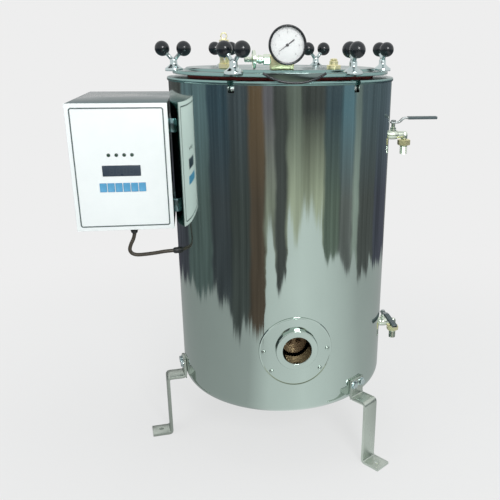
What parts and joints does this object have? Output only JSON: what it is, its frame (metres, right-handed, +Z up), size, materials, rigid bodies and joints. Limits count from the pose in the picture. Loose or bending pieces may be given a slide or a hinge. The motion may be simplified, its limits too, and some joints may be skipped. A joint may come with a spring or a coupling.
{
  "type": "vertical autoclave",
  "caption": "Vertical steam autoclave: polished round vessel on bent strip legs, clamped lift-off lid with ball wing nuts, gauge and valves, lever valves and a side control box.",
  "frame": {"origin": "on the vessel's axis at the level of the feet's undersides, centre of the three anchor holes", "axes": "+Z up along the vessel's axis, -Y to the front with the port and the panel, +X to the side with the lever valves"},
  "size_m": [0.742, 0.5404, 0.8635],
  "materials": {
    "polished_steel": "mirror polished stainless sheet",
    "lid_steel": "polished stainless plate",
    "box_steel": "polished stainless sheet",
    "inner_steel": "satin",
    "bare_steel": "satin",
    "clamp_chrome": "polished",
    "lever_steel": "dull",
    "valve_chrome": "plated",
    "brass": "turned",
    "heater_metal": "heat darkened",
    "black_plastic": "gloss",
    "gasket_rubber": "moulded",
    "cable_rubber": "smooth",
    "panel_white": "printed foil",
    "display_dark": "tinted window",
    "lamp_green": "lens",
    "key_blue": "membrane",
    "board_green": "lacquered",
    "dial_white": "matt print",
    "needle_black": "matt",
    "clear_glass": "clear",
    "blanket": "mineral wool"
  },
  "bodies": {
    "vessel": {"outer_jacket": "polished_steel", "jacket_bottom": "polished_steel", "inner_chamber": "inner_steel", "insulation_blanket": "blanket", "vessel_flange": "lid_steel", "clamp_pins": "bare_steel", "legs": "bare_steel", "leg_bolts": "bare_steel", "port_cover": "polished_steel", "port_collar": "lid_steel", "cover_screws": "bare_steel", "heater_head": "brass", "heater_element": "heater_metal", "chamber_grid": "inner_steel", "steam_valve_body": "valve_chrome", "drain_valve_body": "valve_chrome", "control_box": "box_steel", "front_panel": "panel_white", "display_window": "display_dark", "indicator_lamps": "lamp_green", "circuit_board": "board_green", "box_brackets": "bare_steel", "cable_glands": "black_plastic", "heater_cable": "cable_rubber"},
    "lid": {"lid_plate": "lid_steel", "lid_gasket": "gasket_rubber", "lid_handle": "lid_steel", "gauge_case": "black_plastic", "gauge_dial": "dial_white", "gauge_glass": "clear_glass", "gauge_block": "brass", "purge_valve_body": "valve_chrome", "safety_valve_body": "brass", "vent_valve_body": "brass"},
    "needle": {"gauge_needle": "needle_black"},
    "purge_wheel": {"purge_valve_wheel": "valve_chrome"},
    "safety_stem": {"safety_valve_stem": "brass"},
    "vent_plunger": {"vent_valve_plunger": "brass"},
    "steam_handle": {"steam_ball": "valve_chrome", "steam_lever": "lever_steel"},
    "drain_handle": {"drain_ball": "valve_chrome", "drain_lever": "lever_steel"},
    "bolt_1": {"swing_bolt_1": "bare_steel"},
    "nut_1": {"wing_nut_1": "clamp_chrome"},
    "bolt_2": {"swing_bolt_2": "bare_steel"},
    "nut_2": {"wing_nut_2": "clamp_chrome"},
    "bolt_3": {"swing_bolt_3": "bare_steel"},
    "nut_3": {"wing_nut_3": "clamp_chrome"},
    "bolt_4": {"swing_bolt_4": "bare_steel"},
    "nut_4": {"wing_nut_4": "clamp_chrome"},
    "bolt_5": {"swing_bolt_5": "bare_steel"},
    "nut_5": {"wing_nut_5": "clamp_chrome"},
    "bolt_6": {"swing_bolt_6": "bare_steel"},
    "nut_6": {"wing_nut_6": "clamp_chrome"},
    "key_1_body": {"key_1": "key_blue"},
    "key_2_body": {"key_2": "key_blue"},
    "key_3_body": {"key_3": "key_blue"},
    "key_4_body": {"key_4": "key_blue"},
    "key_5_body": {"key_5": "key_blue"},
    "key_6_body": {"key_6": "key_blue"}
  },
  "joints": [
    {"name": "lid_lift", "type": "slide", "parent": "vessel", "child": "lid", "axis": [0, 0, 1], "range_m": [0, 0.25]},
    {"name": "needle_turn", "type": "hinge", "parent": "lid", "child": "needle", "pos_m": [-0.0095, -0.163, 0.8305], "axis": [0, 1, 0], "range_deg": [0, 270]},
    {"name": "purge_wheel_turn", "type": "hinge", "parent": "lid", "child": "purge_wheel", "pos_m": [-0.06, -0.138, 0.8065], "axis": [-1, 0, 0], "range_deg": [0, 720]},
    {"name": "safety_stem_pull", "type": "slide", "parent": "lid", "child": "safety_stem", "axis": [0, 0, 1], "range_m": [0, 0.004], "stiffness_N_per_m": 500},
    {"name": "vent_plunger_rise", "type": "slide", "parent": "lid", "child": "vent_plunger", "axis": [0, 0, 1], "range_m": [0, 0.003]},
    {"name": "steam_handle_turn", "type": "hinge", "parent": "vessel", "child": "steam_handle", "pos_m": [0.238, 0, 0.655], "axis": [0, 0, 1], "range_deg": [-90, 0]},
    {"name": "drain_handle_turn", "type": "hinge", "parent": "vessel", "child": "drain_handle", "pos_m": [0.238, 0, 0.227], "axis": [0, 0, 1], "range_deg": [0, 90]},
    {"name": "bolt_1_swing", "type": "hinge", "parent": "lid", "child": "bolt_1", "pos_m": [0.208, 0, 0.759], "axis": [0, 1, 0], "range_deg": [0, 80]},
    {"name": "nut_1_spin", "type": "hinge", "parent": "bolt_1", "child": "nut_1", "pos_m": [0.208, 0, 0.797], "axis": [0, 0, 1], "range_deg": [0, 720]},
    {"name": "bolt_2_swing", "type": "hinge", "parent": "lid", "child": "bolt_2", "pos_m": [0.104, 0.18013, 0.759], "axis": [-0.866, 0.5, 0], "range_deg": [0, 80]},
    {"name": "nut_2_spin", "type": "hinge", "parent": "bolt_2", "child": "nut_2", "pos_m": [0.104, 0.18013, 0.797], "axis": [0, 0, 1], "range_deg": [0, 720]},
    {"name": "bolt_3_swing", "type": "hinge", "parent": "lid", "child": "bolt_3", "pos_m": [-0.104, 0.18013, 0.759], "axis": [-0.866, -0.5, 0], "range_deg": [0, 80]},
    {"name": "nut_3_spin", "type": "hinge", "parent": "bolt_3", "child": "nut_3", "pos_m": [-0.104, 0.18013, 0.797], "axis": [0, 0, 1], "range_deg": [0, 720]},
    {"name": "bolt_4_swing", "type": "hinge", "parent": "lid", "child": "bolt_4", "pos_m": [-0.208, 0, 0.759], "axis": [0, -1, 0], "range_deg": [0, 80]},
    {"name": "nut_4_spin", "type": "hinge", "parent": "bolt_4", "child": "nut_4", "pos_m": [-0.208, 0, 0.797], "axis": [0, 0, 1], "range_deg": [0, 720]},
    {"name": "bolt_5_swing", "type": "hinge", "parent": "lid", "child": "bolt_5", "pos_m": [-0.104, -0.18013, 0.759], "axis": [0.866, -0.5, 0], "range_deg": [0, 80]},
    {"name": "nut_5_spin", "type": "hinge", "parent": "bolt_5", "child": "nut_5", "pos_m": [-0.104, -0.18013, 0.797], "axis": [0, 0, 1], "range_deg": [0, 720]},
    {"name": "bolt_6_swing", "type": "hinge", "parent": "lid", "child": "bolt_6", "pos_m": [0.104, -0.18013, 0.759], "axis": [0.866, 0.5, 0], "range_deg": [0, 80]},
    {"name": "nut_6_spin", "type": "hinge", "parent": "bolt_6", "child": "nut_6", "pos_m": [0.104, -0.18013, 0.797], "axis": [0, 0, 1], "range_deg": [0, 720]},
    {"name": "key_1_press", "type": "slide", "parent": "vessel", "child": "key_1_body", "axis": [0, 1, 0], "range_m": [0, 0.0012], "stiffness_N_per_m": 300},
    {"name": "key_2_press", "type": "slide", "parent": "vessel", "child": "key_2_body", "axis": [0, 1, 0], "range_m": [0, 0.0012], "stiffness_N_per_m": 300},
    {"name": "key_3_press", "type": "slide", "parent": "vessel", "child": "key_3_body", "axis": [0, 1, 0], "range_m": [0, 0.0012], "stiffness_N_per_m": 300},
    {"name": "key_4_press", "type": "slide", "parent": "vessel", "child": "key_4_body", "axis": [0, 1, 0], "range_m": [0, 0.0012], "stiffness_N_per_m": 300},
    {"name": "key_5_press", "type": "slide", "parent": "vessel", "child": "key_5_body", "axis": [0, 1, 0], "range_m": [0, 0.0012], "stiffness_N_per_m": 300},
    {"name": "key_6_press", "type": "slide", "parent": "vessel", "child": "key_6_body", "axis": [0, 1, 0], "range_m": [0, 0.0012], "stiffness_N_per_m": 300}
  ]
}
